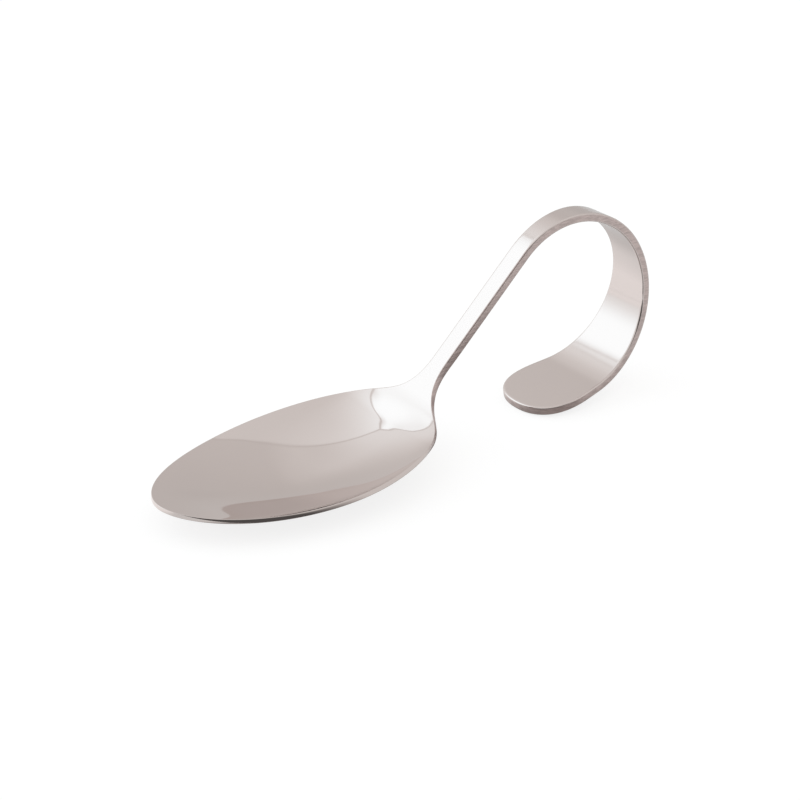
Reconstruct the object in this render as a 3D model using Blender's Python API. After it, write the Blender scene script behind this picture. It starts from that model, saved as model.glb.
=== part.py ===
"""Amuse-bouche spoon with its handle bent into a finger loop.

The spoon is one strip of stainless steel sheet. A flat blank is laid out along a spine,
its front is pressed into a bowl, and the strip is bent to follow the spine.
Metres, +Z up, bowl tip towards -X, loop towards +X.
"""
import math

import bmesh
import bpy
from mathutils import Matrix, Vector

# Sheet
HANDLE_GAUGE = 0.00215
BOWL_GAUGE = 0.0010
EDGE_ROUND = 0.0003

# Bowl, with lengths taken along the rim line from the tip
BOWL_FRONT = 0.0400
BOWL_REAR = 0.0345
BOWL_WIDTH = 0.0458
BOWL_DEPTH = 0.00564
DEEPEST = 0.0364
HOLLOW_LENGTH = 0.0671
HOLLOW_EASE = 0.0015
FRONT_FULLNESS = -0.80
REAR_FULLNESS = 0.52
SIDE_FULLNESS = -0.31
RIM_FULLNESS = 0.425
FRONT_POWER = 1.86
REAR_POWER = 2.0
TIP_DIP = math.radians(4.65)
RIM_RADIUS = 0.260

# Neck, with the reach of its curve's two tangents and the length over which the sheet thickens
NECK_OVERLAP = 0.0117
NECK_LENGTH = 0.0195
NECK_WIDTH = 0.0052
NECK_LEAVE = 0.0084
NECK_MEET = 0.0130
NECK_RADIUS = 0.0186
GAUGE_RAMP = 0.0170

# Handle, from the neck over the loop to its flared end
HANDLE_RISE = math.radians(43.6)
LOOP_RADIUS = 0.0230
END_SLOPE = math.radians(8.9)
END_LENGTH = 0.0187
END_WIDTH = 0.0260
END_ROUND = 0.0154
END_POWER = 2.27
FLARE_POWER = 1.71

# Finish
STEEL_COLOUR = (0.60, 0.55, 0.535, 1.0)
STEEL_ROUGHNESS = 0.12

# Mesh
ACROSS = 7
FAN_LINES = 12
BOWL_STEP = 0.0026
NECK_STEP = 0.0010
STRAIGHT_STEP = 0.0070
LOOP_STEP = 0.0019
FRONT_HUB = 0.0180
END_HUB = 0.0105

BOWL_CLOSE = BOWL_FRONT + BOWL_REAR
NECK_START = BOWL_CLOSE - NECK_OVERLAP
NECK_END = NECK_START + NECK_LENGTH
FLAT_SHARE = 1.0 / (2 * ACROSS - 1)


class Spine:
    """Side view of the strip's face: stretches of constant curvature, end to end."""

    def __init__(self, heading):
        self.stretches = []
        self.length = 0.0
        self.end = (0.0, 0.0, heading)

    def add(self, length, curvature):
        self.stretches.append((self.length, self.end, curvature))
        self.end = self.walk(self.end, curvature, length)
        self.length += length

    def walk(self, start, curvature, length):
        x, z, heading = start
        if curvature == 0.0:
            return x + length * math.cos(heading), z + length * math.sin(heading), heading
        turned = heading + curvature * length
        x += (math.sin(turned) - math.sin(heading)) / curvature
        z -= (math.cos(turned) - math.cos(heading)) / curvature
        return x, z, turned

    def at(self, along):
        for begins, start, curvature in reversed(self.stretches):
            if along >= begins:
                return self.walk(start, curvature, along - begins)
        return self.stretches[0][1]


def swell(share, fullness, outer_fullness=0.0):
    """One at the middle and nothing at a share of one, a parabola where both fullnesses are nought."""
    return (1.0 - share ** 2) * (1.0 + fullness * share ** 2 + outer_fullness * share ** 4)


def hollow(along):
    """Depth of the bowl under its rim line, on the centreline.

    The rear eases into the flat neck instead of stopping short at the rim line.
    """
    if along < DEEPEST:
        return BOWL_DEPTH * swell(1.0 - along / DEEPEST, FRONT_FULLNESS)
    depth = BOWL_DEPTH * swell((along - DEEPEST) / (HOLLOW_LENGTH - DEEPEST), REAR_FULLNESS)
    if depth > HOLLOW_EASE:
        return depth
    return max(0.0, depth + HOLLOW_EASE) ** 2 / (4.0 * HOLLOW_EASE)


def pressed(along, share):
    """Depth of the bowl at a share of its half width.

    A strip down the middle is flat from side to side, so that the bowl stands on it and does not roll.
    """
    return hollow(along) * swell(max(share, FLAT_SHARE), SIDE_FULLNESS, RIM_FULLNESS)


def make_spine():
    """Chain the rim, neck bend, straight, loop and end, with bowl and end on one level.

    The straight's length is what brings the end of the handle down to the bowl's belly.
    Returns the spine, the middle of its neck bend, and where its loop starts and stops.
    """
    spine = Spine(-TIP_DIP)
    spine.add(NECK_START, 1.0 / RIM_RADIUS)
    samples = [NECK_START * i / 200 for i in range(201)]
    belly = min(spine.at(along)[1] - pressed(along, 0.0) for along in samples) - BOWL_GAUGE
    neck_turn = HANDLE_RISE - spine.end[2]
    spine.add(NECK_RADIUS * neck_turn, 1.0 / NECK_RADIUS)
    ramp_middle = 0.5 * (NECK_START + spine.length)
    loop_drop = LOOP_RADIUS * (math.cos(HANDLE_RISE) + math.cos(END_SLOPE))
    end_drop = END_LENGTH * math.sin(END_SLOPE)
    climb = belly + loop_drop + end_drop - spine.end[1]
    spine.add(climb / math.sin(HANDLE_RISE), 0.0)
    loop_start = spine.length
    spine.add(LOOP_RADIUS * (HANDLE_RISE + math.pi - END_SLOPE), -1.0 / LOOP_RADIUS)
    loop_stop = spine.length
    spine.add(END_LENGTH, 0.0)
    return spine, ramp_middle, loop_start, loop_stop


def bowl_half(along):
    """Half the bowl's own outline: two half superellipses that meet at the widest point."""
    if along < BOWL_FRONT:
        share = 1.0 - along / BOWL_FRONT
        power = FRONT_POWER
    else:
        share = (along - BOWL_FRONT) / BOWL_REAR
        power = REAR_POWER
    return 0.5 * BOWL_WIDTH * max(0.0, 1.0 - share ** power) ** (1.0 / power)


def bezier(ends, share):
    """Value of a cubic Bezier curve with four control values."""
    rest = 1.0 - share
    first = rest ** 3 * ends[0] + 3.0 * rest ** 2 * share * ends[1]
    return first + 3.0 * rest * share ** 2 * ends[2] + share ** 3 * ends[3]


def neck_half(along):
    """Half the neck: a Bezier curve that leaves the bowl's outline on its tangent and ends parallel."""
    top = bowl_half(NECK_START)
    slope = (top - bowl_half(NECK_START - 1e-6)) / 1e-6
    foot = 0.5 * NECK_WIDTH
    places = (NECK_START, NECK_START + NECK_LEAVE, NECK_END - NECK_MEET, NECK_END)
    halves = (top, top + slope * NECK_LEAVE, foot, foot)
    low, high = 0.0, 1.0
    for _ in range(40):
        share = 0.5 * (low + high)
        if bezier(places, share) < along:
            low = share
        else:
            high = share
    return bezier(halves, share)


def handle_half(along, flare_start, length):
    """Half the handle: parallel on the straight, flared round the loop, rounded at the end."""
    flare = max(0.0, (along - flare_start) / (length - flare_start)) ** FLARE_POWER
    half = 0.5 * (NECK_WIDTH + (END_WIDTH - NECK_WIDTH) * flare)
    into_end = max(0.0, 1.0 - (length - along) / END_ROUND)
    return half * max(0.0, 1.0 - into_end ** END_POWER) ** (1.0 / END_POWER)


def half_width(along, flare_start, length):
    if along < NECK_START:
        return bowl_half(along)
    if along < NECK_END:
        return neck_half(along)
    return handle_half(along, flare_start, length)


def spread(start, stop, step):
    """Even stations from start up to but not including stop, about a step apart."""
    count = max(1, round((stop - start) / step))
    return [start + (stop - start) * i / count for i in range(count)]


def blank_lines(loop_start, loop_stop, length):
    """Pairs of (place on the centreline, place on the outline) that the blank's mesh follows.

    Lines fan round a hub inside the bowl's tip, run square across the strip, and fan again
    round a hub inside the handle's end.
    """
    fan = [1.0 - math.sin(0.5 * math.pi * i / FAN_LINES) for i in range(FAN_LINES + 1)]
    end_hub = length - END_HUB
    stations = spread(FRONT_HUB, NECK_START, BOWL_STEP)
    stations += spread(NECK_START, NECK_END, NECK_STEP)
    stations += spread(NECK_END, loop_start, STRAIGHT_STEP)
    stations += spread(loop_start, loop_stop, LOOP_STEP)
    stations += spread(loop_stop, length, BOWL_STEP)
    lines = [(FRONT_HUB, FRONT_HUB * share) for share in reversed(fan)]
    lines += [(along, along) for along in stations if FRONT_HUB < along < end_hub]
    lines += [(end_hub, length - END_HUB * share) for share in fan]
    return lines


def make_blank():
    """Half of the pressed and bent face as a mesh, with the sheet's gauge as vertex weights."""
    spine, ramp_middle, loop_start, loop_stop = make_spine()
    length = spine.length
    mesh = bpy.data.meshes.new("spoon")
    bm = bmesh.new()
    gauge = bm.verts.layers.deform.verify()

    def formed(along, across):
        half = half_width(along, loop_start, length)
        share = across / half if half > 1e-9 else 1.0
        press = pressed(along, share)
        x, z, heading = spine.at(along)
        vert = bm.verts.new((x + press * math.sin(heading), across, z - press * math.cos(heading)))
        ramp = min(1.0, max(0.0, 0.5 + (along - ramp_middle) / GAUGE_RAMP))
        vert[gauge][0] = ramp ** 2 * (3.0 - 2.0 * ramp)
        return vert

    before = None
    for middle, edge in blank_lines(loop_start, loop_stop, length):
        reach = half_width(edge, loop_start, length)
        shares = [max(0.0, (2 * i - 1) * FLAT_SHARE) for i in range(ACROSS + 1)]
        line = [formed(middle + (edge - middle) * share, reach * share) for share in shares]
        if before:
            for i in range(ACROSS):
                bm.faces.new((before[i], line[i], line[i + 1], before[i + 1]))
        before = line
    bmesh.ops.remove_doubles(bm, verts=bm.verts, dist=1e-6)
    bm.to_mesh(mesh)
    bm.free()
    return mesh


def make_steel():
    steel = bpy.data.materials.new("steel")
    steel.use_nodes = True
    shader = steel.node_tree.nodes["Principled BSDF"]
    shader.inputs["Base Color"].default_value = STEEL_COLOUR
    shader.inputs["Metallic"].default_value = 1.0
    shader.inputs["Roughness"].default_value = STEEL_ROUGHNESS
    return steel


def thicken(spoon):
    """Mirror the half, give it the sheet's gauge on the side away from the face, round its edges."""
    spoon.vertex_groups.new(name="gauge")
    mirror = spoon.modifiers.new("Mirror", "MIRROR")
    mirror.use_axis = (False, True, False)
    mirror.merge_threshold = 1e-6
    sheet = spoon.modifiers.new("Sheet", "SOLIDIFY")
    sheet.thickness = HANDLE_GAUGE
    sheet.offset = -1.0
    sheet.use_even_offset = True
    sheet.vertex_group = "gauge"
    sheet.thickness_vertex_group = BOWL_GAUGE / HANDLE_GAUGE
    edges = spoon.modifiers.new("Edges", "BEVEL")
    edges.width = EDGE_ROUND
    edges.segments = 2
    edges.limit_method = "ANGLE"
    edges.angle_limit = math.radians(50.0)


def set_down(spoon):
    """Keep the modifiers' result as the mesh, standing on z = 0 with its box centred in x."""
    seen = spoon.evaluated_get(bpy.context.evaluated_depsgraph_get())
    mesh = bpy.data.meshes.new_from_object(seen)
    corners = [Vector(corner) for corner in seen.bound_box]
    low = [min(corner[axis] for corner in corners) for axis in range(3)]
    high = [max(corner[axis] for corner in corners) for axis in range(3)]
    mesh.transform(Matrix.Translation((-0.5 * (low[0] + high[0]), 0.0, -low[2])))
    mesh.polygons.foreach_set("use_smooth", [True] * len(mesh.polygons))
    spoon.modifiers.clear()
    spoon.data = mesh


for leftover in list(bpy.data.objects):
    bpy.data.objects.remove(leftover)
face = make_blank()
face.materials.append(make_steel())
spoon = bpy.data.objects.new("spoon", face)
bpy.context.collection.objects.link(spoon)
thicken(spoon)
set_down(spoon)
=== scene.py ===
"""Looks of an amuse-bouche spoon: one strip of polished steel, pressed, bent and set on a studio floor.

The file is laid out as an add-on and run as a script. The spoon starts as a flat blank. A Geometry
Nodes tree presses its bowl and bends it along its spine.
"""
import math

import bmesh
import bpy
from mathutils import Matrix, Vector


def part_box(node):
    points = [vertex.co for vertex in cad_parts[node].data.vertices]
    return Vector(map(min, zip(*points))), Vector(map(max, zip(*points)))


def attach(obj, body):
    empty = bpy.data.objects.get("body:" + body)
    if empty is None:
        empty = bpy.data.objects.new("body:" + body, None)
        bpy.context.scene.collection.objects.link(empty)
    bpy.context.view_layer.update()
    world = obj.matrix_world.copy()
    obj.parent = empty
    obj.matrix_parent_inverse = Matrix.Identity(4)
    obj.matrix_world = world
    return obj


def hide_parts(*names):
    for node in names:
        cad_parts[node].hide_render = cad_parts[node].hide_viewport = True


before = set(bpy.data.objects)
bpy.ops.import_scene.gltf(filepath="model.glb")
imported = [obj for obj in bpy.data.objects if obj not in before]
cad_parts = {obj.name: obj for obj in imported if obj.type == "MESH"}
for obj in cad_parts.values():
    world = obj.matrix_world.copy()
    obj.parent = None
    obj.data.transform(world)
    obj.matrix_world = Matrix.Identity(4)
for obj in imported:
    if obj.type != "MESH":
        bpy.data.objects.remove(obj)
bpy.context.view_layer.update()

bl_info = {
    "name": "Amuse-bouche spoon",
    "version": (1, 0, 0),
    "blender": (4, 5, 0),
    "location": "View3D > Sidebar > Spoon",
    "description": "Forms an amuse-bouche spoon from a flat blank and sets it on a studio floor",
    "category": "Object",
}

NODE = "spoon"
BODY = "root"

WELD = 1e-6
NOISE_MEAN = 0.5
WARM_LIGHT = (1.02, 0.99, 0.97)
COOL_LIGHT = (0.93, 1.03, 1.07)


# Properties

def length(name, description, default):
    return bpy.props.FloatProperty(
        name=name, description=description, default=default, precision=5, subtype="DISTANCE", unit="LENGTH"
    )


def angle(name, description, degrees):
    return bpy.props.FloatProperty(
        name=name, description=description, default=math.radians(degrees), subtype="ANGLE", unit="ROTATION"
    )


def number(name, description, default):
    return bpy.props.FloatProperty(name=name, description=description, default=default, precision=3)


def numbers(name, description, low, high):
    return bpy.props.FloatVectorProperty(
        name=name, description=description, default=(low, high), size=2, precision=3
    )


def lengths(name, description, low, high):
    return bpy.props.FloatVectorProperty(
        name=name, description=description, default=(low, high), size=2, precision=5, unit="LENGTH"
    )


def angles(name, description, low, high):
    default = (math.radians(low), math.radians(high))
    return bpy.props.FloatVectorProperty(
        name=name, description=description, default=default, size=2, precision=3, unit="ROTATION"
    )


def count(name, description, default):
    return bpy.props.IntProperty(name=name, description=description, default=default, min=1)


def colour(name, description, default):
    return bpy.props.FloatVectorProperty(
        name=name, description=description, default=default, size=3, subtype="COLOR", min=0.0, max=1.0
    )


class SheetSizes(bpy.types.PropertyGroup):
    """Thickness of the steel and rounding of its cut edges"""

    handle_gauge: length("Handle gauge", "Thickness of the strip from the neck to the end", 0.00215)
    bowl_gauge: length("Bowl gauge", "Thickness of the bowl, which pressing thins", 0.0010)
    gauge_ramp: length("Gauge ramp", "Length over which the sheet thickens at the neck", 0.0240)
    edge_round: length("Edge round", "Radius on the handle's cut edges, less on thinner sheet", 0.0004)


class BowlSizes(bpy.types.PropertyGroup):
    """Outline and hollow of the bowl, with lengths measured along its rim line"""

    front: length("Front", "From the tip to the widest place", 0.0400)
    rear: length("Rear", "From the widest place to where the outline would close", 0.0345)
    width: length("Width", "Across the widest place", 0.0458)
    front_power: number("Front power", "Fullness of the front outline, 2 for an ellipse", 1.86)
    rear_power: number("Rear power", "Fullness of the rear outline, 2 for an ellipse", 2.0)
    depth: length("Depth", "From the rim line to the floor at the deepest place", 0.00564)
    deepest: length("Deepest", "From the tip to the deepest place", 0.0364)
    hollow_length: length("Hollow length", "From the tip to where the hollow ends at the rim line", 0.0671)
    hollow_ease: length("Hollow ease", "Depth over which the hollow eases into the neck", 0.0015)
    front_fullness: number("Front fullness", "Fullness of the hollow to the front, 0 for a parabola", -0.80)
    rear_fullness: number("Rear fullness", "Fullness of the hollow to the rear, 0 for a parabola", 0.52)
    side_fullness: number("Side fullness", "Fullness of the hollow to the sides, 0 for a parabola", -0.31)
    rim_fullness: number("Rim fullness", "Fullness of the hollow added close to the rim", 0.425)
    tip_dip: angle("Tip dip", "Slope of the rim line at the tip", 4.65)
    rim_radius: length("Rim radius", "Radius of the rim line seen from the side", 0.260)


class NeckSizes(bpy.types.PropertyGroup):
    """Neck between bowl and handle"""

    overlap: length("Overlap", "How far the neck starts before the outline of the bowl would close", 0.0117)
    length: length("Length", "From where the neck leaves the bowl to the parallel handle", 0.0195)
    width: length("Width", "Across the handle at its narrowest", 0.0052)
    leave: length("Leave", "Reach of the neck curve's tangent at the bowl", 0.0084)
    meet: length("Meet", "Reach of the neck curve's tangent at the handle", 0.0130)
    radius: length("Radius", "Radius of the bend from the rim line up to the handle", 0.0186)


class HandleSizes(bpy.types.PropertyGroup):
    """Handle, from the neck over the loop to its flared end"""

    rise: angle("Rise", "Slope of the straight handle", 43.6)
    loop_radius: length("Loop radius", "Radius of the loop's outer face", 0.0230)
    end_slope: angle("End slope", "Slope of the flat end towards its tip", 8.9)
    end_length: length("End length", "Flat from the loop to the tip of the end", 0.0187)
    end_width: length("End width", "Width that the flare would reach at the tip", 0.0260)
    end_round: length("End round", "Length of the rounded end", 0.0154)
    end_power: number("End power", "Fullness of the rounded end, 2 for an ellipse", 2.27)
    flare_power: number("Flare power", "How late the strip flares round the loop", 1.71)


class SteelFinish(bpy.types.PropertyGroup):
    """Polished faces and ground edges"""

    colour: colour("Colour", "Colour of the polished faces", (0.677, 0.610, 0.588))
    edge_colour: colour("Edge colour", "Colour of the handle's ground edges", (0.525, 0.43, 0.41))
    bowl_roughness: number("Bowl roughness", "Roughness of the bowl, which is polished bright", 0.05)
    handle_roughness: number("Handle roughness", "Roughness of the handle, which is polished less", 0.12)
    edge_roughness: number("Edge roughness", "Roughness of the straight's ground edges", 0.34)
    loop_edge_roughness: number("Loop edge roughness", "Roughness of the edges from the loop on", 0.22)
    edge_start: lengths("Edge start", "Where the edges turn ground, from the neck's start", -0.003, 0.004)
    loop_ease: length("Loop ease", "Length over which the edges change at the start of the loop", 0.005)
    straight_edge: numbers("Straight edge", "How far round the straight's corners turn ground", 0.05, 0.7)
    loop_edge: numbers("Loop edge", "How far round the loop's corners turn ground", 0.92, 1.0)
    line_scale: number("Line scale", "Polishing lines in a metre along the strip", 60.0)
    line_stretch: number("Line stretch", "How many times closer the lines lie across the strip", 40.0)
    line_depth: number("Line depth", "How much the lines vary the roughness", 0.35)
    cloud_scale: number("Cloud scale", "Cloudy patches in a metre of the polish", 70.0)
    cloud_depth: number("Cloud depth", "How much the clouds vary the roughness", 0.25)
    cloud_shade: number("Cloud shade", "How much clouds and lines together vary the colour", 0.03)
    grind_scale: number("Grind scale", "Grinding marks in a metre of the edges", 500.0)
    grind_stretch: number("Grind stretch", "How many times closer the marks lie from top to bottom", 5.0)
    grind_depth: number("Grind depth", "How much the marks vary the edges' roughness", 0.6)
    grind_bare: number("Grind bare", "Share of the edges' colour that the marks rub off", 0.25)
    grind_shade: number("Grind shade", "How much the marks vary the edges' brightness", 0.3)
    grind_contrast: numbers("Grind contrast", "Heights of the marks from darkest to brightest", 0.3, 0.7)
    grain_strength: number("Grain strength", "How strongly the marks stand out", 0.25)
    grain_depth: length("Grain depth", "Depth of the marks", 0.0001)


class MeshSizes(bpy.types.PropertyGroup):
    """Spacing of the blank's mesh"""

    across: count("Across", "Columns from the centreline to the edge's rounding", 22)
    round_steps: count("Round steps", "Steps in the rounding of each cut edge", 4)
    fan_lines: count("Fan lines", "Lines in each half of the fans at the two ends", 60)
    bowl_step: length("Bowl step", "Spacing of the lines across the bowl", 0.0008)
    neck_step: length("Neck step", "Spacing of the lines across the neck", 0.0004)
    straight_step: length("Straight step", "Spacing of the lines across the straight", 0.0012)
    loop_step: length("Loop step", "Spacing of the lines across the loop", 0.0009)
    front_hub: length("Front hub", "From the bowl's tip to the hub of its fan", 0.0180)
    end_hub: length("End hub", "From the handle's tip to the hub of its fan", 0.0105)


class StudioSizes(bpy.types.PropertyGroup):
    """Stand and lens of the camera"""

    azimuth: angle("Azimuth", "Turn of the camera round the spoon", -37.05)
    elevation: angle("Elevation", "Height of the camera above the horizon", 26.36)
    distance: length("Distance", "From the camera to what it aims at", 0.520)
    aim: bpy.props.FloatVectorProperty(
        name="Aim", description="Point in the middle of the picture", default=(0.01232, 0.02104, 0.0),
        size=3, precision=5, subtype="TRANSLATION", unit="LENGTH"
    )
    lens: bpy.props.FloatProperty(
        name="Lens", description="Focal length", default=93.6, unit="CAMERA"
    )
    sensor: bpy.props.FloatProperty(
        name="Sensor", description="Width of the sensor", default=36.0, unit="CAMERA"
    )
    nearest: length("Nearest", "How close to the camera things still show", 0.01)


class FloorSizes(bpy.types.PropertyGroup):
    """Floor, with places to the right of its middle and ahead of it as the camera looks"""

    reach: length("Reach", "From the middle of the floor to its edges", 12.0)
    colour: colour("Colour", "Colour of the floor", (0.93, 0.93, 0.93))
    roughness: number("Roughness", "Roughness of the floor", 0.9)
    white: number("White", "Share of the floor that is white to the camera whatever its light", 0.75)
    glow: number("Glow", "Strength of that white, which makes up for the dimmer rest", 1.10)
    lit_end: length("Lit end", "Where the floor that shines in the steel ends on the right", 0.045)
    lit_start: lengths("Lit start", "Where the shining floor starts, across the spoon", -0.005, 0.012)
    # A painted dimmer band in the painted light that the steel mirrors on the floor.
    dim_band_left: lengths("Fold left", "Where a dimmer fold in the shine starts", -0.19, -0.155)
    dim_band_right: lengths("Fold right", "Where that fold ends", -0.155, -0.12)
    dim_band_loss: number("Fold loss", "Share of the shine lost in the fold", 0.4)
    # Painted shade on the floor that only the steel mirrors: in front of the spoon, under the loop and far
    # behind.
    shade: number("Shade", "Brightness of the shaded floor that the steel mirrors", 0.22)
    shade_colour: colour("Shade colour", "Colour of the shaded floor", (1.0, 0.88, 0.84))
    front_left: lengths("Front left", "Where the shade in front starts on the left", -0.060, -0.042)
    front_right: lengths("Front right", "Where the shade in front ends on the right", 0.055, 0.095)
    front_back: lengths("Front back", "Where the shade in front ends at the back", 0.010, 0.022)
    front_share: number("Front share", "How deep the shade in front of the spoon is", 0.7)
    loop_left: lengths("Loop left", "Where the shade under the loop starts on the left", 0.022, 0.034)
    loop_right: lengths("Loop right", "Where the shade under the loop ends on the right", 0.050, 0.080)
    loop_front: lengths("Loop front", "Where the shade under the loop starts at the front", 0.050, 0.065)
    far: lengths("Far", "Where the shade far behind starts", 0.15, 0.30)
    back_share: number("Back share", "How deep the shades under the loop and far behind are", 0.22)


class TentSizes(bpy.types.PropertyGroup):
    """Light tent round the spoon, with turns and heights as the camera sees them"""

    back_turn: angle("Back turn", "Where the back wall faces the spoon, right of straight ahead", 8.4)
    top_height: angle("Top height", "Height of the seam over the middle of the back wall", 58.6)
    corner_turn: angle("Corner turn", "Where the back wall meets the left wall", -43.2)
    join: number("Join", "Softness of the lines where the walls meet", 0.001)
    seam: number("Seam", "Width of the dark seams along those lines", 0.014)
    seam_core: number("Seam core", "Share of the seams' width that is darkest", 0.3)
    seam_loss: number("Seam loss", "Share of the light lost in the seams", 0.10)
    seam_left_loss: number("Seam left loss", "Share also lost at the seams' left ends", 0.4)
    left_light: number("Left light", "Brightness of the left wall, where the lamp is", 1.55)
    back_light: number("Back light", "Brightness of the back wall near the left wall", 1.03)
    dim_light: number("Dim light", "Brightness of the rest of the back wall, at its foot", 0.657)
    top_light: number("Top light", "Brightness of the top far from the left wall", 0.85)
    right_light: number("Right light", "Brightness of the right wall, where a second lamp is", 0.80)
    front_light: number("Front light", "Brightness of the opening behind the camera", 0.10)
    tint: numbers("Tint", "Brightnesses between which the light turns from warm to cool", 0.6, 1.6)


class TentShades(bpy.types.PropertyGroup):
    """Where the light on the tent's walls rises and falls, with turns and heights as the camera sees them"""

    left_foot: angles("Left foot", "Heights over which the left wall brightens", -2.0, 24.0)
    left_foot_loss: number("Left foot loss", "Share of the left wall's light lost at its foot", 0.26)
    left_corner: angles("Left corner", "Turns over which the left wall dims to the corner", -62.0, -47.0)
    left_band_loss: number("Left band loss", "Share lost by the corner within a bright band", 0.05)
    left_low: angles("Left low", "Heights below the bright band, where more is lost", 37.0, 43.0)
    left_low_loss: number("Left low loss", "Share also lost below the bright band", 0.08)
    left_high: angles("Left high", "Heights above the bright band, where more is lost", 43.5, 47.0)
    left_high_loss: number("Left high loss", "Share also lost above the bright band", 0.18)
    left_end: angles("Left end", "Turns over which the left wall dims towards the front", -106.0, -80.0)
    left_end_loss: number("Left end loss", "Share of the left wall's light lost at the front", 0.42)
    split_turn: angle("Split turn", "Where the back wall's lit side ends and its dim side begins", -10.0)
    split_soft: angle("Split soft", "Half the width of the change between the two sides", 7.0)
    split_height: angle("Split height", "Height above which the change bows to the right", 15.0)
    split_bow: number("Split bow", "How fast the change bows to the right", 0.5157)
    lit_turns: angles("Lit turns", "Turns over which the lit side dims to the right", -42.0, -5.0)
    lit_loss: number("Lit loss", "Share of the lit side's light lost on the right", 0.235)
    lit_heights: angles("Lit heights", "Heights over which the lit side brightens upwards", 12.0, 38.0)
    lit_foot: number("Lit foot", "Share of the lit side's light at its foot", 0.875)
    lit_gain: number("Lit gain", "Share of the lit side's light gained higher up", 0.17)
    dim_heights: angles("Dim heights", "Heights over which the dim side brightens upwards", 5.0, 65.0)
    dim_gain: number("Dim gain", "Brightness that the dim side gains higher up", 0.09)
    dim_turns: angles("Dim turns", "Turns over which the dim side's foot darkens to the right", 2.0, 8.0)
    dim_foot: angles("Dim foot", "Heights at which the dim side's foot ends", 8.0, 24.0)
    dim_loss: number("Dim loss", "Brightness lost at the dim side's foot", 0.06)
    top_heights: angles("Top heights", "Heights over which the top dims away from its seam", 58.0, 76.0)
    top_turns: angles("Top turns", "Turns over which the top dims to the right", -12.0, 20.0)
    top_gain: number("Top gain", "Share of the top's light gained by its seam", 0.08)
    top_left_gain: number("Top left gain", "Brightness that the top gains towards the left wall", 1.06)
    right_turns: angles("Right turns", "Turns over which the right wall begins", 50.0, 75.0)
    right_heights: angles("Right heights", "Heights at which the right wall ends", 42.0, 55.0)
    front_reach: numbers("Front reach", "How far back the opening begins, 1 for straight back", 0.35, 0.75)
    front_heights: angles("Front heights", "Heights at which the opening ends", 25.0, 37.0)


class SpoonSettings(bpy.types.PropertyGroup):
    """Everything a user would change on the spoon and its stage"""

    sheet: bpy.props.PointerProperty(type=SheetSizes)
    bowl: bpy.props.PointerProperty(type=BowlSizes)
    neck: bpy.props.PointerProperty(type=NeckSizes)
    handle: bpy.props.PointerProperty(type=HandleSizes)
    finish: bpy.props.PointerProperty(type=SteelFinish)
    mesh: bpy.props.PointerProperty(type=MeshSizes)
    studio: bpy.props.PointerProperty(type=StudioSizes)
    floor: bpy.props.PointerProperty(type=FloorSizes)
    tent: bpy.props.PointerProperty(type=TentSizes)
    shades: bpy.props.PointerProperty(type=TentShades)


# Node trees written as Python

class Value:
    """A number on a node's socket. An expression on values adds its Math nodes."""

    def __init__(self, tree, socket):
        self.tree = tree
        self.socket = socket

    def maths(self, operation, *terms):
        node = self.tree.add("ShaderNodeMath", {"operation": operation}, dict(enumerate(terms)))
        return Value(self.tree, node.outputs[0])

    def __add__(self, other):
        return self.maths("ADD", self, other)

    def __radd__(self, other):
        return self.maths("ADD", other, self)

    def __sub__(self, other):
        return self.maths("SUBTRACT", self, other)

    def __rsub__(self, other):
        return self.maths("SUBTRACT", other, self)

    def __mul__(self, other):
        return self.maths("MULTIPLY", self, other)

    def __rmul__(self, other):
        return self.maths("MULTIPLY", other, self)

    def __truediv__(self, other):
        return self.maths("DIVIDE", self, other)

    def __rtruediv__(self, other):
        return self.maths("DIVIDE", other, self)

    def __pow__(self, other):
        return self.maths("POWER", self, other)

    def __neg__(self):
        return self.maths("MULTIPLY", self, -1.0)

    def sin(self):
        return self.maths("SINE", self)

    def cos(self):
        return self.maths("COSINE", self)

    def at_least(self, low):
        return self.maths("MAXIMUM", self, low)

    def at_most(self, high):
        return self.maths("MINIMUM", self, high)

    def limit(self, low, high):
        return self.at_least(low).at_most(high)

    def steps(self, low, high):
        """0 below low, 1 above high and smooth between them."""
        sockets = {"Value": self, "From Min": low, "From Max": high}
        return self.tree.value("ShaderNodeMapRange", {"interpolation_type": "SMOOTHSTEP"}, sockets)

    def fades(self, low, high):
        """1 below low, 0 above high and smooth between them."""
        return 1.0 - self.steps(low, high)

    def blend(self, other, share):
        return self + (other - self) * share


class Tree:
    """A node tree whose nodes all come from one method."""

    def __init__(self, tree):
        self.tree = tree

    def add(self, kind, settings=None, sockets=None):
        """A new node with its settings, then the values or links of its sockets by name or number."""
        node = self.tree.nodes.new(kind)
        for name, value in (settings or {}).items():
            setattr(node, name, value)
        for key, value in (sockets or {}).items():
            if isinstance(value, Value):
                value = value.socket
            if isinstance(value, bpy.types.NodeSocket):
                self.tree.links.new(value, node.inputs[key])
            else:
                node.inputs[key].default_value = value
        return node

    def value(self, kind, settings=None, sockets=None, output=0):
        return Value(self, self.add(kind, settings, sockets).outputs[output])

    def parts(self, vector):
        """The three numbers of a vector."""
        split = self.add("ShaderNodeSeparateXYZ", None, {0: vector})
        return [Value(self, socket) for socket in split.outputs]

    def mix(self, share, first, second):
        """A colour between two others."""
        sockets = {"Factor": share, "A": (*first, 1.0), "B": (*second, 1.0)}
        return self.add("ShaderNodeMix", {"data_type": "RGBA"}, sockets).outputs["Result"]

    def join(self, source, socket):
        self.tree.links.new(source.socket if isinstance(source, Value) else source, socket)


# Forming the spoon

def swell(share, fullness, outer_fullness=0.0):
    """One at the middle and nothing at a share of one, a parabola where both fullnesses are nought."""
    square = share * share
    return (1.0 - square) * (1.0 + fullness * square + outer_fullness * square * square)


def swell_slope(share, fullness, outer_fullness=0.0):
    """How fast the swell changes with its share."""
    square = share * share
    turn = 1.0 - fullness + 2.0 * (fullness - outer_fullness) * square
    return -2.0 * share * (turn + 3.0 * outer_fullness * square * square)


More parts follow.
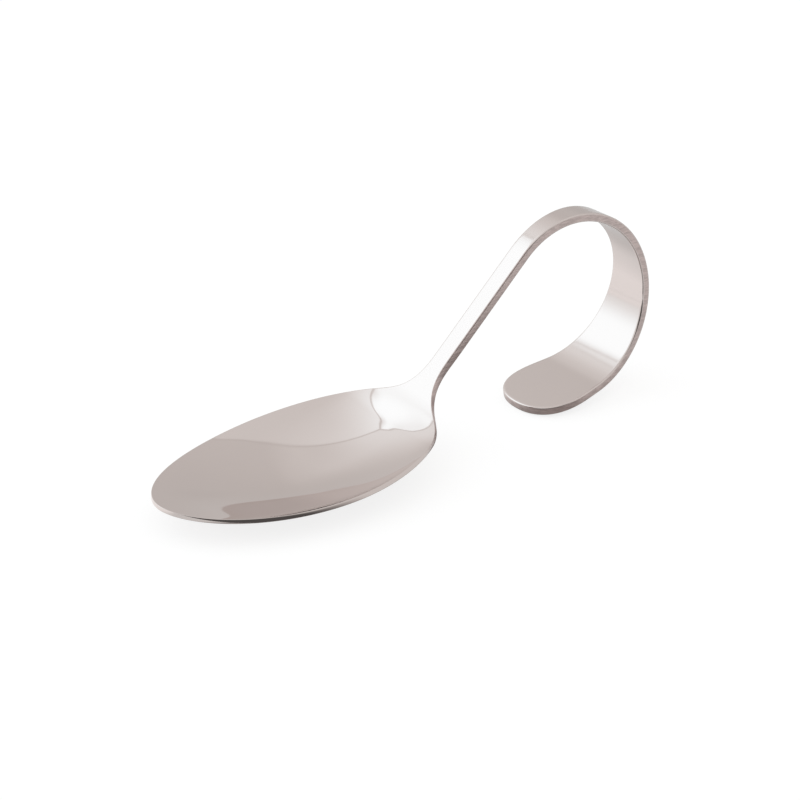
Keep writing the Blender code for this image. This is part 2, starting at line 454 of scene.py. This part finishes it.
class Strip:
    """Lengths along the strip's face, from the bowl's tip to the end of the handle."""

    BELLY_STEPS = 200

    def __init__(self, spoon):
        bowl, neck, handle = spoon.bowl, spoon.neck, spoon.handle
        self.bowl = bowl
        self.bowl_close = bowl.front + bowl.rear
        self.neck_start = self.bowl_close - neck.overlap
        self.neck_end = self.neck_start + neck.length
        rim_turn = self.neck_start / bowl.rim_radius
        rim_heading = rim_turn - bowl.tip_dip
        bend = neck.radius * (handle.rise - rim_heading)
        self.ramp_middle = self.neck_start + bend
        self.straight = self.find_straight(spoon, rim_heading)
        self.loop_start = self.neck_start + bend + self.straight
        self.loop_stop = self.loop_start + handle.loop_radius * (handle.rise + math.pi - handle.end_slope)
        self.length = self.loop_stop + handle.end_length

    def rim_height(self, along):
        """Height of the rim line over its start at the tip."""
        heading = along / self.bowl.rim_radius - self.bowl.tip_dip
        return self.bowl.rim_radius * (math.cos(self.bowl.tip_dip) - math.cos(heading))

    def hollow(self, along):
        """Depth of the bowl under its rim line, on the centreline."""
        bowl = self.bowl
        front = max(0.0, 1.0 - along / bowl.deepest)
        rear = max(0.0, (along - bowl.deepest) / (bowl.hollow_length - bowl.deepest))
        floor = bowl.depth * swell(rear, bowl.rear_fullness)
        eased = min(2.0 * bowl.hollow_ease, max(0.0, bowl.hollow_ease + floor))
        floor = max(0.0, floor - bowl.hollow_ease) + eased ** 2 / (4.0 * bowl.hollow_ease)
        return floor * swell(front, bowl.front_fullness)

    def find_straight(self, spoon, rim_heading):
        """Length of the straight that brings the end of the handle down to the bowl's belly."""
        neck, handle = spoon.neck, spoon.handle
        samples = [self.neck_start * i / self.BELLY_STEPS for i in range(self.BELLY_STEPS + 1)]
        belly = min(self.rim_height(along) - self.hollow(along) for along in samples)
        belly -= spoon.sheet.bowl_gauge
        bend_top = self.rim_height(self.neck_start)
        bend_top += neck.radius * (math.cos(rim_heading) - math.cos(handle.rise))
        loop_drop = handle.loop_radius * (math.cos(handle.rise) + math.cos(handle.end_slope))
        end_drop = handle.end_length * math.sin(handle.end_slope)
        return (belly + loop_drop + end_drop - bend_top) / math.sin(handle.rise)


class Outline:
    """Half the width of the flat blank at each length along it."""

    PROBE = 1e-6
    HALVINGS = 40

    def __init__(self, spoon, strip):
        self.bowl = spoon.bowl
        self.neck = spoon.neck
        self.handle = spoon.handle
        self.strip = strip

    def bowl_half(self, along):
        """Two half superellipses that meet at the widest place."""
        bowl = self.bowl
        if along < bowl.front:
            share, power = 1.0 - along / bowl.front, bowl.front_power
        else:
            share, power = (along - bowl.front) / bowl.rear, bowl.rear_power
        return 0.5 * bowl.width * max(0.0, 1.0 - share ** power) ** (1.0 / power)

    def neck_half(self, along):
        """A Bezier curve that leaves the bowl's outline on its tangent and ends parallel."""
        start, stop = self.strip.neck_start, self.strip.neck_end
        top = self.bowl_half(start)
        slope = (top - self.bowl_half(start - self.PROBE)) / self.PROBE
        foot = 0.5 * self.neck.width
        places = (start, start + self.neck.leave, stop - self.neck.meet, stop)
        halves = (top, top + slope * self.neck.leave, foot, foot)
        low, high = 0.0, 1.0
        for _ in range(self.HALVINGS):
            share = 0.5 * (low + high)
            if bezier(places, share) < along:
                low = share
            else:
                high = share
        return bezier(halves, share)

    def handle_half(self, along):
        """Parallel on the straight, flared round the loop, rounded at the end."""
        handle, strip = self.handle, self.strip
        into_loop = max(0.0, (along - strip.loop_start) / (strip.length - strip.loop_start))
        flare = into_loop ** handle.flare_power
        half = 0.5 * (self.neck.width + (handle.end_width - self.neck.width) * flare)
        into_end = max(0.0, 1.0 - (strip.length - along) / handle.end_round)
        return half * max(0.0, 1.0 - into_end ** handle.end_power) ** (1.0 / handle.end_power)

    def at(self, along):
        if along < self.strip.neck_start:
            return self.bowl_half(along)
        if along < self.strip.neck_end:
            return self.neck_half(along)
        return self.handle_half(along)

    def rate(self, along):
        """Change of the half width along the strip, as a share of it, as far as the bowl is hollow."""
        if along >= self.strip.bowl_close:
            return 0.0
        along = max(along, 2.0 * self.PROBE)
        change = self.at(along + self.PROBE) - self.at(along - self.PROBE)
        return change / (2.0 * self.PROBE * self.at(along))


def bezier(ends, share):
    """Value of a cubic Bezier curve with four control values."""
    rest = 1.0 - share
    first = rest ** 3 * ends[0] + 3.0 * rest ** 2 * share * ends[1]
    return first + 3.0 * rest * share ** 2 * ends[2] + share ** 3 * ends[3]


def spread(start, stop, step):
    """Even stations from start up to but not including stop, about a step apart."""
    steps = max(1, round((stop - start) / step))
    return [start + (stop - start) * i / steps for i in range(steps)]


def blank_lines(mesh, strip):
    """Pairs of (place on the centreline, place on the outline) that the blank's mesh follows.

    Lines fan round a hub inside the bowl's tip, run square across the strip, and fan again
    round a hub inside the handle's end.
    """
    fan = [1.0 - math.sin(0.5 * math.pi * i / mesh.fan_lines) for i in range(mesh.fan_lines + 1)]
    front_hub, end_hub = mesh.front_hub, strip.length - mesh.end_hub
    stations = spread(front_hub, strip.neck_start, mesh.bowl_step)
    stations += spread(strip.neck_start, strip.neck_end, mesh.neck_step)
    stations += spread(strip.neck_end, strip.loop_start, mesh.straight_step)
    stations += spread(strip.loop_start, strip.loop_stop, mesh.loop_step)
    stations += spread(strip.loop_stop, strip.length, mesh.bowl_step)
    lines = [(front_hub, front_hub * share) for share in reversed(fan)]
    lines += [(along, along) for along in stations if front_hub < along < end_hub]
    lines += [(end_hub, strip.length - mesh.end_hub * share) for share in fan]
    return lines


def edge_section(radius, gauge, steps):
    """Pairs of (inset from the outline, depth under the face) down the cut edge and its round corners."""
    turns = [0.5 * math.pi * i / steps for i in range(steps + 1)]
    corner = [(radius * (1.0 - math.sin(t)), radius * (1.0 - math.cos(t))) for t in turns]
    return corner + [(inset, gauge - depth) for inset, depth in reversed(corner)]


def outline_normals(points):
    """Outward normal at each point of half the outline, whose first and last points lie on its axis."""
    first, last = points[1], points[-2]
    ring = [Vector((first.x, -first.y)), *points, Vector((last.x, -last.y))]
    chords = [after - before for before, after in zip(ring, ring[2:])]
    return [Vector((-chord.y, chord.x)).normalized() for chord in chords]


def make_blank(spoon, strip):
    """The flat blank as a plate: x along the strip, y across it, its face at z = 0 and its gauge below.

    Each line runs from the middle of the face over the cut edge to the middle of the underside.
    Its points carry the half width there and its rate of change, which pressing needs.
    """
    outline = Outline(spoon, strip)
    sheet, columns = spoon.sheet, spoon.mesh.across
    bm = bmesh.new()
    half_width = bm.verts.layers.float.new("half_width")
    half_rate = bm.verts.layers.float.new("half_rate")
    cut_edge = bm.verts.layers.float.new("cut_edge")
    strip_map = bm.loops.layers.uv.new("strip")

    def gauge(along):
        ramp = min(1.0, max(0.0, 0.5 + (along - strip.ramp_middle) / sheet.gauge_ramp))
        return sheet.bowl_gauge + (sheet.handle_gauge - sheet.bowl_gauge) * ramp ** 2 * (3.0 - 2.0 * ramp)

    def point(place, depth, edge):
        vert = bm.verts.new((place.x, place.y, -depth))
        vert[half_width] = outline.at(place.x)
        vert[half_rate] = outline.rate(place.x)
        vert[cut_edge] = edge
        return vert

    def line(middle, edge, normal):
        radius = sheet.edge_round * (gauge(edge.x) / sheet.handle_gauge) ** 2
        inner = edge - 2.0 * radius * normal
        flat = [middle.lerp(inner, i / columns) for i in range(columns + 1)]
        section = edge_section(radius, gauge(edge.x), spoon.mesh.round_steps)
        over = [point(place, 0.0, 0.0) for place in flat]
        for inset, depth in section:
            over.append(point(edge - inset * normal, depth, 1.0 - inset / radius))
        return over + [point(place, gauge(place.x), 0.0) for place in reversed(flat)]

    lines = blank_lines(spoon.mesh, strip)
    edges = [Vector((along, outline.at(along))) for _, along in lines]
    normals = outline_normals(edges)
    for side in (1, -1):
        mirror = Vector((1.0, side))
        before = None
        for (middle, _), edge, normal in zip(lines, edges, normals):
            now = line(Vector((middle, 0.0)), edge * mirror, normal * mirror)
            if before:
                for i in range(len(now) - 1):
                    corners = (before[i], now[i], now[i + 1], before[i + 1])
                    bm.faces.new(corners[::side])
            before = now
    bmesh.ops.remove_doubles(bm, verts=bm.verts, dist=WELD)
    for face in bm.faces:
        for corner in face.loops:
            corner[strip_map].uv = corner.vert.co.xy
    mesh = bpy.data.meshes.new("blank")
    bm.to_mesh(mesh)
    bm.free()
    return mesh


def bend(along, stretches, heading):
    """Place and heading of the strip's face at a length along it: stretches of constant curvature."""
    x, z, begin = 0.0, 0.0, 0.0
    for stretch, curvature in stretches:
        gone = (along - begin).limit(0.0, stretch)
        if curvature is None:
            x = x + gone * heading.cos()
            z = z + gone * heading.sin()
        else:
            turned = heading + gone * curvature
            x = x + (turned.sin() - heading.sin()) / curvature
            z = z - (turned.cos() - heading.cos()) / curvature
            heading = turned
        begin = begin + stretch
    return x, z, heading


def make_forming_tree(inputs):
    """Geometry Nodes that press the bowl into a flat blank and bend the blank along its spine.

    Returns the tree, and the identifier of the socket for each named input.
    """
    group = bpy.data.node_groups.new("Press and bend", "GeometryNodeTree")
    interface = group.interface
    interface.new_socket("Blank", in_out="INPUT", socket_type="NodeSocketGeometry")
    interface.new_socket("Spoon", in_out="OUTPUT", socket_type="NodeSocketGeometry")
    identifiers = {}
    for name, value in inputs.items():
        kind = "NodeSocketMaterial" if isinstance(value, bpy.types.Material) else "NodeSocketFloat"
        identifiers[name] = interface.new_socket(name, in_out="INPUT", socket_type=kind).identifier
    tree = Tree(group)
    given = tree.add("NodeGroupInput").outputs
    size = {name: Value(tree, given[name]) for name in inputs}

    flat = tree.value("GeometryNodeInputPosition")
    along, across, above = tree.parts(flat)
    half, rate = (
        tree.value("GeometryNodeInputNamedAttribute", {"data_type": "FLOAT"}, {"Name": name})
        for name in ("half_width", "half_rate")
    )

    deepest, depth, ease = (size[name] for name in ("Deepest", "Bowl Depth", "Hollow Ease"))
    behind = size["Hollow Length"] - deepest
    front = (1.0 - along / deepest).at_least(0.0)
    rear = ((along - deepest) / behind).at_least(0.0)
    rear_floor = depth * swell(rear, size["Rear Fullness"])
    eased = (ease + rear_floor).limit(0.0, 2.0 * ease)
    floor = (rear_floor - ease).at_least(0.0) + eased * eased / (4.0 * ease)
    floor_slope = depth * swell_slope(rear, size["Rear Fullness"]) * eased / (2.0 * behind * ease)
    hollow = floor * swell(front, size["Front Fullness"])
    hollow_slope = floor_slope - floor * swell_slope(front, size["Front Fullness"]) / deepest
    share = across / half
    section = swell(share, size["Side Fullness"], size["Rim Fullness"])
    section_slope = swell_slope(share, size["Side Fullness"], size["Rim Fullness"])
    press = hollow * section
    slope_along = hollow_slope * section - hollow * section_slope * share * rate
    slope_across = hollow * section_slope / half
    lift = above / (1.0 + slope_along * slope_along + slope_across * slope_across) ** 0.5
    forward = lift * slope_along
    sideways = across + lift * slope_across
    upward = lift - press

    rim_heading = size["Rim Length"] / size["Rim Radius"] - size["Tip Dip"]
    neck_turn = size["Handle Rise"] - rim_heading
    loop_turn = size["Handle Rise"] + math.pi - size["End Slope"]
    stretches = (
        (size["Rim Length"], 1.0 / size["Rim Radius"]),
        (size["Neck Radius"] * neck_turn, 1.0 / size["Neck Radius"]),
        (size["Straight Length"], None),
        (size["Loop Radius"] * loop_turn, -1.0 / size["Loop Radius"]),
        (size["End Length"], None),
    )
    x, z, heading = bend(along, stretches, -size["Tip Dip"])
    x = x + forward * heading.cos() - upward * heading.sin()
    z = z + forward * heading.sin() + upward * heading.cos()
    formed = tree.value("ShaderNodeCombineXYZ", None, {0: x, 1: sideways, 2: z})
    moved = tree.value("GeometryNodeSetPosition", None, {"Geometry": given["Blank"], "Position": formed})
    whole = tree.value("GeometryNodeRealizeInstances", None, {"Geometry": moved})
    steel = tree.value("GeometryNodeSetMaterial", None, {"Geometry": whole, "Material": given["Steel"]})
    tree.add("NodeGroupOutput", None, {"Spoon": steel})
    return group, identifiers


def form(piece, spoon, strip, steel):
    """Press the piece's flat blank and bend it along its spine."""
    inputs = {
        "Bowl Depth": spoon.bowl.depth,
        "Deepest": spoon.bowl.deepest,
        "Hollow Length": spoon.bowl.hollow_length,
        "Hollow Ease": spoon.bowl.hollow_ease,
        "Front Fullness": spoon.bowl.front_fullness,
        "Rear Fullness": spoon.bowl.rear_fullness,
        "Side Fullness": spoon.bowl.side_fullness,
        "Rim Fullness": spoon.bowl.rim_fullness,
        "Tip Dip": spoon.bowl.tip_dip,
        "Rim Radius": spoon.bowl.rim_radius,
        "Rim Length": strip.neck_start,
        "Neck Radius": spoon.neck.radius,
        "Handle Rise": spoon.handle.rise,
        "Straight Length": strip.straight,
        "Loop Radius": spoon.handle.loop_radius,
        "End Slope": spoon.handle.end_slope,
        "End Length": spoon.handle.end_length,
        "Steel": steel,
    }
    group, identifiers = make_forming_tree(inputs)
    forming = piece.modifiers.new("Press and bend", "NODES")
    forming.node_group = group
    for name, value in inputs.items():
        forming[identifiers[name]] = value


def settle(piece):
    """Keep what the modifiers give as the piece's own mesh, in the box of the solid it stands for."""
    seen = piece.evaluated_get(bpy.context.evaluated_depsgraph_get())
    mesh = bpy.data.meshes.new_from_object(seen)
    piece.modifiers.clear()
    corners = [vert.co for vert in mesh.vertices]
    low = Vector(min(corner[axis] for corner in corners) for axis in range(3))
    high = Vector(max(corner[axis] for corner in corners) for axis in range(3))
    solid_low, solid_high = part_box(NODE)
    fit = [(solid_high[axis] - solid_low[axis]) / (high[axis] - low[axis]) for axis in range(3)]
    to_box = Matrix.Translation(solid_low) @ Matrix.Diagonal((*fit, 1.0)) @ Matrix.Translation(-low)
    mesh.transform(to_box)
    mesh.polygons.foreach_set("use_smooth", [True] * len(mesh.polygons))
    piece.data = mesh


def make_steel(finish, strip):
    """Steel polished bright in the bowl and less on the handle, whose edges are ground dull."""
    steel = bpy.data.materials.new("polished steel")
    steel.use_nodes = True
    tree = Tree(steel.node_tree)
    edge = tree.value("ShaderNodeAttribute", {"attribute_name": "cut_edge"}, output="Fac")
    laid_out = tree.add("ShaderNodeUVMap", {"uv_map": "strip"}).outputs[0]
    place = tree.add("ShaderNodeTexCoord").outputs["Object"]
    along = tree.parts(laid_out)[0]
    handle = along.steps(strip.neck_start, strip.neck_end)
    looped = along.steps(strip.loop_start, strip.loop_start + finish.loop_ease)

    def noise(where, scale, stretch, detail):
        stretched = tree.add("ShaderNodeVectorMath", {"operation": "MULTIPLY"}, {0: where, 1: stretch})
        sockets = {"Vector": stretched.outputs[0], "Scale": scale, "Detail": detail}
        return tree.value("ShaderNodeTexNoise", None, sockets)

    lines = noise(laid_out, finish.line_scale, (1.0, finish.line_stretch, 1.0), detail=4.0)
    clouds = noise(place, finish.cloud_scale, (1.0, 1.0, 1.0), detail=3.0)
    grind = noise(place, finish.grind_scale, (1.0, 1.0, finish.grind_stretch), detail=5.0)

    ground_from, ground_to = (strip.neck_start + offset for offset in finish.edge_start)
    ground = edge.steps(*finish.straight_edge).blend(edge.steps(*finish.loop_edge), looped)
    ground = ground * along.steps(ground_from, ground_to)

    polish = finish.bowl_roughness + (finish.handle_roughness - finish.bowl_roughness) * handle
    uneven = finish.line_depth * (lines - NOISE_MEAN) + finish.cloud_depth * (clouds - NOISE_MEAN)
    dull = finish.edge_roughness + (finish.loop_edge_roughness - finish.edge_roughness) * looped
    dull = dull * (1.0 + finish.grind_depth * (grind - NOISE_MEAN))
    rough = (polish * (1.0 + uneven)).blend(dull, ground)

    covered = ground * (1.0 - finish.grind_bare * (1.0 - grind))
    tone = tree.mix(covered, finish.colour, finish.edge_colour)
    cloudy = finish.cloud_shade * (clouds * lines - NOISE_MEAN ** 2)
    marked = finish.grind_shade * (grind.steps(*finish.grind_contrast) - NOISE_MEAN)
    shade = 1.0 + cloudy + ground * marked
    shaded = tree.add("ShaderNodeVectorMath", {"operation": "SCALE"}, {0: tone, "Scale": shade}).outputs[0]

    relief = {"Height": grind, "Strength": ground * finish.grain_strength, "Distance": finish.grain_depth}
    grain = tree.add("ShaderNodeBump", None, relief)
    shader = steel.node_tree.nodes["Principled BSDF"]
    shader.inputs["Metallic"].default_value = 1.0
    tree.join(shaded, shader.inputs["Base Color"])
    tree.join(rough, shader.inputs["Roughness"])
    tree.join(grain.outputs[0], shader.inputs["Normal"])
    return steel


class SPOON_OT_form(bpy.types.Operator):
    """Cut the blank, press and bend it into the spoon and polish it"""

    bl_idname = "spoon.form"
    bl_label = "Form the spoon"

    def execute(self, context):
        spoon = context.scene.spoon
        strip = Strip(spoon)
        piece = bpy.data.objects.new("finished_spoon", make_blank(spoon, strip))
        context.scene.collection.objects.link(piece)
        form(piece, spoon, strip, make_steel(spoon.finish, strip))
        settle(piece)
        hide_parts(NODE)
        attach(piece, BODY)
        return {"FINISHED"}


# Stage

def set_camera(scene, studio):
    """Camera on its stand, aimed at the spoon."""
    data = bpy.data.cameras.new("camera")
    data.lens = studio.lens
    data.sensor_width = studio.sensor
    data.clip_start = studio.nearest
    camera = bpy.data.objects.new("camera", data)
    turn, lift = studio.azimuth, studio.elevation
    back = Vector((math.sin(turn) * math.cos(lift), -math.cos(turn) * math.cos(lift), math.sin(lift)))
    camera.location = Vector(studio.aim) + back * studio.distance
    camera.rotation_euler = (math.radians(90.0) - lift, 0.0, turn)
    scene.collection.objects.link(camera)
    scene.camera = camera


def as_seen(x, y, studio):
    """How far a place or a direction lies to the right and ahead, as the camera looks."""
    aside = x * math.cos(studio.azimuth) + y * math.sin(studio.azimuth)
    ahead = y * math.cos(studio.azimuth) - x * math.sin(studio.azimuth)
    return aside, ahead


def light_left_wall(tent, shades, turn, height):
    """Brightest at the lamp, dimmer at the foot, towards the front and, but for one band, at the corner."""
    foot = 1.0 - shades.left_foot_loss * height.fades(*shades.left_foot)
    loss = shades.left_band_loss + shades.left_low_loss * height.fades(*shades.left_low)
    loss = loss + shades.left_high_loss * height.steps(*shades.left_high)
    corner = 1.0 - loss * turn.steps(*shades.left_corner)
    end = 1.0 - shades.left_end_loss * turn.fades(*shades.left_end)
    return tent.left_light * foot * corner * end


def light_back_wall(tent, shades, turn, height):
    """A lit side next to the left wall and a dim side, parted by a soft line that bows to the right."""
    bow = shades.split_bow * (height - shades.split_height).at_least(0.0) ** 2.0
    past_split = (turn - shades.split_turn - bow).steps(-shades.split_soft, shades.split_soft)
    fall = 1.0 - shades.lit_loss * turn.steps(*shades.lit_turns)
    rise = shades.lit_foot + shades.lit_gain * height.steps(*shades.lit_heights)
    lit = tent.back_light * fall * rise
    foot = turn.steps(*shades.dim_turns) * height.fades(*shades.dim_foot)
    dim = tent.dim_light + shades.dim_gain * height.steps(*shades.dim_heights) - shades.dim_loss * foot
    return lit.blend(dim, past_split)


def light_top(tent, shades, turn, height, leftward):
    """Even, but brighter by the seam over the back wall and towards the left wall."""
    by_seam = height.fades(*shades.top_heights) * turn.fades(*shades.top_turns)
    return tent.top_light * (1.0 + shades.top_gain * by_seam) + shades.top_left_gain * leftward ** 2.0


def hang_tent(scene, studio, tent, shades):
    """Light tent as the world: three walls and a top with dark seams between them, open at the front."""
    world = bpy.data.worlds.new("light tent")
    world.use_nodes = True
    tree = Tree(world.node_tree)
    x, y, up = tree.parts(tree.add("ShaderNodeTexCoord").outputs["Generated"])
    aside, ahead = as_seen(x, y, studio)
    turn = aside.maths("ARCTAN2", aside, ahead)
    height = up.maths("ARCSINE", up)

    to_back = ahead * math.cos(tent.back_turn) + aside * math.sin(tent.back_turn)
    to_left = ahead * math.sin(tent.back_turn) - aside * math.cos(tent.back_turn)
    leftward = to_left.at_least(0.0)
    left = to_left / math.tan(tent.back_turn - tent.corner_turn)
    top = up / math.tan(tent.top_height)
    wall = to_back.at_least(left)
    second = to_back.at_most(left).at_least(wall.at_most(top))
    seam = (wall.at_least(top) - second).fades(tent.seam_core * tent.seam, tent.seam)

    left_wall = light_left_wall(tent, shades, turn, height)
    light = light_back_wall(tent, shades, turn, height)
    light = light.blend(left_wall, (left - to_back).steps(-tent.join, tent.join))
    ceiling = light_top(tent, shades, turn, height, leftward)
    light = light.blend(ceiling, (top - wall).steps(-tent.join, tent.join))
    light = light * (1.0 - (tent.seam_loss + tent.seam_left_loss * leftward) * seam)
    right_wall = turn.steps(*shades.right_turns) * height.fades(*shades.right_heights)
    light = light.blend(tent.right_light, right_wall)
    opening = (-ahead).steps(*shades.front_reach) * height.fades(*shades.front_heights)
    light = light.blend(tent.front_light, opening)

    background = world.node_tree.nodes["Background"]
    tree.join(tree.mix(light.steps(*tent.tint), WARM_LIGHT, COOL_LIGHT), background.inputs["Color"])
    tree.join(light, background.inputs["Strength"])
    scene.world = world


def make_floor_paint(studio, sizes):
    """Pale paint, white to the camera. The steel sees painted light on the left and painted shade in places.
    """
    paint = bpy.data.materials.new("floor paint")
    paint.use_nodes = True
    tree = Tree(paint.node_tree)
    rays = tree.add("ShaderNodeLightPath").outputs
    camera, glossy, clear = (
        Value(tree, rays[name]) for name in ("Is Camera Ray", "Is Glossy Ray", "Is Transmission Ray")
    )
    mirrored = (glossy + clear).at_most(1.0)
    x, y, _ = tree.parts(tree.add("ShaderNodeTexCoord").outputs["Object"])
    aside, ahead = as_seen(x, y, studio)

    # Painted shade that only the steel mirrors: in front of the spoon, under the loop and far behind.
    front = aside.steps(*sizes.front_left) * aside.fades(*sizes.front_right)
    front = front * ahead.fades(*sizes.front_back)
    under_loop = aside.steps(*sizes.loop_left) * aside.fades(*sizes.loop_right)
    under_loop = under_loop * ahead.steps(*sizes.loop_front)
    behind = under_loop.at_least(ahead.steps(*sizes.far))
    shaded = (sizes.front_share * front).at_least(sizes.back_share * behind)
    # Painted light on the floor's left that only the steel mirrors, with a painted dimmer band in it.
    dim_band = aside.steps(*sizes.dim_band_left) * aside.fades(*sizes.dim_band_right)
    lit = (1.0 - aside / sizes.lit_end).limit(0.0, 1.0) * y.steps(*sizes.lit_start)
    lit = lit * (1.0 - sizes.dim_band_loss * dim_band) * (1.0 - front)

    matt = paint.node_tree.nodes["Principled BSDF"]
    matt.inputs["Base Color"].default_value = (*sizes.colour, 1.0)
    matt.inputs["Roughness"].default_value = sizes.roughness
    matt.inputs["Specular IOR Level"].default_value = 0.0
    white = tree.add("ShaderNodeEmission", None, {"Strength": sizes.glow})
    # This dark emission paints that shade into the steel's reflection of the floor.
    dark = tree.add(
        "ShaderNodeEmission", None, {"Color": (*sizes.shade_colour, 1.0), "Strength": sizes.shade}
    )

    def mix_shaders(share, first, second):
        return tree.add("ShaderNodeMixShader", None, {0: share, 1: first.outputs[0], 2: second.outputs[0]})

    bright = mix_shaders(camera * sizes.white + mirrored * lit, matt, white)
    whole = mix_shaders(mirrored * shaded, bright, dark)
    tree.join(whole.outputs[0], paint.node_tree.nodes["Material Output"].inputs["Surface"])
    return paint


def lay_floor(scene, studio, sizes):
    """One wide square that takes the spoon's soft shadow."""
    mesh = bpy.data.meshes.new("floor")
    bm = bmesh.new()
    bmesh.ops.create_grid(bm, x_segments=1, y_segments=1, size=sizes.reach)
    bm.to_mesh(mesh)
    bm.free()
    mesh.materials.append(make_floor_paint(studio, sizes))
    floor = bpy.data.objects.new("floor", mesh)
    scene.collection.objects.link(floor)


class SPOON_OT_stage(bpy.types.Operator):
    """Lay the floor, hang the lights and set up the camera"""

    bl_idname = "spoon.stage"
    bl_label = "Set the stage"

    def execute(self, context):
        spoon = context.scene.spoon
        set_camera(context.scene, spoon.studio)
        hang_tent(context.scene, spoon.studio, spoon.tent, spoon.shades)
        lay_floor(context.scene, spoon.studio, spoon.floor)
        return {"FINISHED"}


# Panel and registration

class SPOON_PT_panel(bpy.types.Panel):
    """Sizes of the spoon and the steps that make it"""

    bl_idname = "SPOON_PT_panel"
    bl_label = "Amuse-bouche spoon"
    bl_space_type = "VIEW_3D"
    bl_region_type = "UI"
    bl_category = "Spoon"

    def draw(self, context):
        layout = self.layout
        spoon = context.scene.spoon
        for part in SpoonSettings.__annotations__:
            box = layout.box()
            box.label(text=part.capitalize())
            group = getattr(spoon, part)
            for name in type(group).__annotations__:
                box.prop(group, name)
        layout.operator(SPOON_OT_form.bl_idname)
        layout.operator(SPOON_OT_stage.bl_idname)


CLASSES = (
    SheetSizes,
    BowlSizes,
    NeckSizes,
    HandleSizes,
    SteelFinish,
    MeshSizes,
    StudioSizes,
    FloorSizes,
    TentSizes,
    TentShades,
    SpoonSettings,
    SPOON_OT_form,
    SPOON_OT_stage,
    SPOON_PT_panel,
)


def register():
    for cls in CLASSES:
        bpy.utils.register_class(cls)
    bpy.types.Scene.spoon = bpy.props.PointerProperty(type=SpoonSettings)


def unregister():
    del bpy.types.Scene.spoon
    for cls in reversed(CLASSES):
        bpy.utils.unregister_class(cls)


def main():
    register()
    bpy.context.scene.view_settings.view_transform = "Standard"
    bpy.ops.spoon.form()
    bpy.ops.spoon.stage()


if __name__ == "__main__":
    main()
